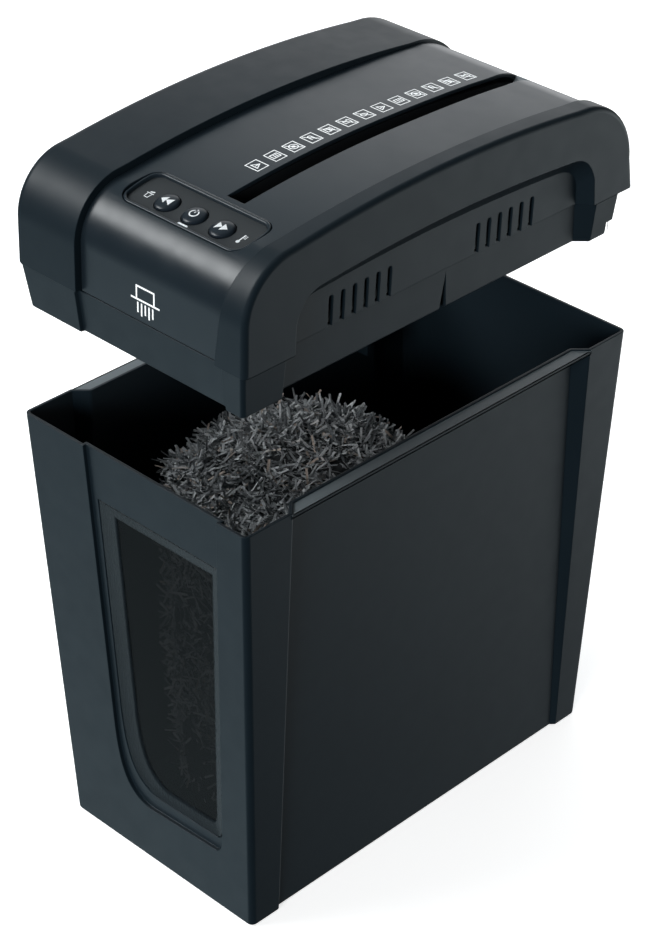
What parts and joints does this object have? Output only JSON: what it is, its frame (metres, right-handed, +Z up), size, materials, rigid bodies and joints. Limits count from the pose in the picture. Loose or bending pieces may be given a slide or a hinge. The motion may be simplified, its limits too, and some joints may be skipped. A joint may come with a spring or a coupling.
{
  "type": "paper shredder",
  "caption": "Slim personal paper shredder: an arched cutting head with a lengthwise slot, lifted off a tapered bin with a smoked window and shreds inside.",
  "frame": {"origin": "middle of the bin's base, on the surface that it stands on", "axes": "+Z up; -Y is the front with the window and the buttons; +X is the side nearer the paper slot, which runs along Y"},
  "size_m": [0.1868, 0.321, 0.4659],
  "materials": {
    "shell_plastic": "satin dark blue-grey, fine grain",
    "panel_plastic": "smooth semi-gloss dark grey",
    "inlay_plastic": "fine matte charcoal",
    "button_plastic": "satin-gloss blue-black",
    "smoked_window": "smoked clear, polished",
    "shreds": "cross-cut strips, matte dark grey",
    "clear_pipe": "frosted clear light pipe",
    "black_plastic": "moulded black",
    "nylon": "natural nylon",
    "board": "green solder mask",
    "plate_steel": "zinc-plated sheet",
    "cutter_steel": "hardened, ground and oiled",
    "armature": "laminated steel with varnished windings",
    "bronze": "sintered bronze",
    "ferrite": "dark ferrite"
  },
  "bodies": {
    "bin": {"bin_body": "shell_plastic", "bin_window": "smoked_window", "shredded_paper": "shreds"},
    "head": {"upper_shell": "shell_plastic", "centre_panel": "panel_plastic", "lower_shell": "shell_plastic", "control_inlay": "inlay_plastic", "rewind_switch": "black_plastic", "power_switch": "black_plastic", "forward_switch": "black_plastic", "status_light_pipe": "clear_pipe", "control_board": "board", "cord_gland": "black_plastic", "front_end_plate": "plate_steel", "rear_end_plate": "plate_steel", "stripper_comb_a": "black_plastic", "stripper_comb_b": "black_plastic", "throat_guide": "black_plastic", "paper_sensor_emitter": "black_plastic", "paper_sensor_receiver": "black_plastic", "motor_can": "plate_steel", "motor_magnet_1": "ferrite", "motor_magnet_2": "ferrite", "first_idler_pin": "plate_steel", "second_idler_pin": "plate_steel", "gearbox_cover": "black_plastic", "motor_capacitor": "black_plastic", "interlock_switch": "black_plastic", "shell_screw_1": "plate_steel", "tie_rod_1": "plate_steel", "shell_screw_2": "plate_steel", "tie_rod_2": "plate_steel", "shell_screw_3": "plate_steel", "tie_rod_3": "plate_steel", "shell_screw_4": "plate_steel", "tie_rod_4": "plate_steel", "motor_screw_1": "plate_steel", "motor_screw_2": "plate_steel", "front_bush_a": "bronze", "front_bush_b": "bronze", "rear_bush_a": "bronze", "rear_bush_b": "bronze"},
    "motor_rotor": {"motor_rotor": "armature", "motor_pinion": "plate_steel", "motor_fan": "black_plastic"},
    "first_idler": {"first_idler_gear": "nylon"},
    "second_idler": {"second_idler_gear": "nylon"},
    "cutter_a": {"cutter_shaft_a": "cutter_steel", "sync_gear_a": "plate_steel", "final_gear": "nylon"},
    "cutter_b": {"cutter_shaft_b": "cutter_steel", "sync_gear_b": "plate_steel"},
    "rewind_button": {"rewind_button": "button_plastic"},
    "power_button": {"power_button": "button_plastic"},
    "forward_button": {"forward_button": "button_plastic"},
    "interlock_plunger": {"interlock_plunger": "black_plastic"}
  },
  "joints": [
    {"name": "head_lift", "type": "slide", "parent": "bin", "child": "head", "axis": [0, 0, 1], "range_m": [-0.0986, 0.12]},
    {"name": "motor_spin", "type": "hinge", "parent": "head", "child": "motor_rotor", "pos_m": [-0.05252, 0, 0.39299], "axis": [0, 1, 0], "continuous": true},
    {"name": "first_idler_spin", "type": "hinge", "parent": "head", "child": "first_idler", "pos_m": [-0.03875, 0, 0.41265], "axis": [0, 1, 0], "continuous": true},
    {"name": "second_idler_spin", "type": "hinge", "parent": "head", "child": "second_idler", "pos_m": [-0.01232, 0, 0.4108], "axis": [0, 1, 0], "continuous": true},
    {"name": "cutter_a_spin", "type": "hinge", "parent": "head", "child": "cutter_a", "pos_m": [0.0147, 0, 0.3952], "axis": [0, 1, 0], "continuous": true},
    {"name": "cutter_b_spin", "type": "hinge", "parent": "head", "child": "cutter_b", "pos_m": [0.0427, 0, 0.3952], "axis": [0, 1, 0], "continuous": true},
    {"name": "rewind_press", "type": "slide", "parent": "head", "child": "rewind_button", "axis": [0, -0.1874, 0.9823], "range_m": [-0.0008, 0], "stiffness_N_per_m": 500, "springref_m": 0.001},
    {"name": "power_press", "type": "slide", "parent": "head", "child": "power_button", "axis": [0, -0.1874, 0.9823], "range_m": [-0.0008, 0], "stiffness_N_per_m": 500, "springref_m": 0.001},
    {"name": "forward_press", "type": "slide", "parent": "head", "child": "forward_button", "axis": [0, -0.1874, 0.9823], "range_m": [-0.0008, 0], "stiffness_N_per_m": 500, "springref_m": 0.001},
    {"name": "interlock_press", "type": "slide", "parent": "head", "child": "interlock_plunger", "axis": [0, 0, 1], "range_m": [0, 0.004], "stiffness_N_per_m": 300, "springref_m": -0.002}
  ],
  "couplings": [
    {"joint": "first_idler_spin", "follows": "motor_spin", "ratio": -0.2},
    {"joint": "second_idler_spin", "follows": "motor_spin", "ratio": 0.052381},
    {"joint": "cutter_a_spin", "follows": "motor_spin", "ratio": -0.015714},
    {"joint": "cutter_b_spin", "follows": "motor_spin", "ratio": 0.015714}
  ]
}
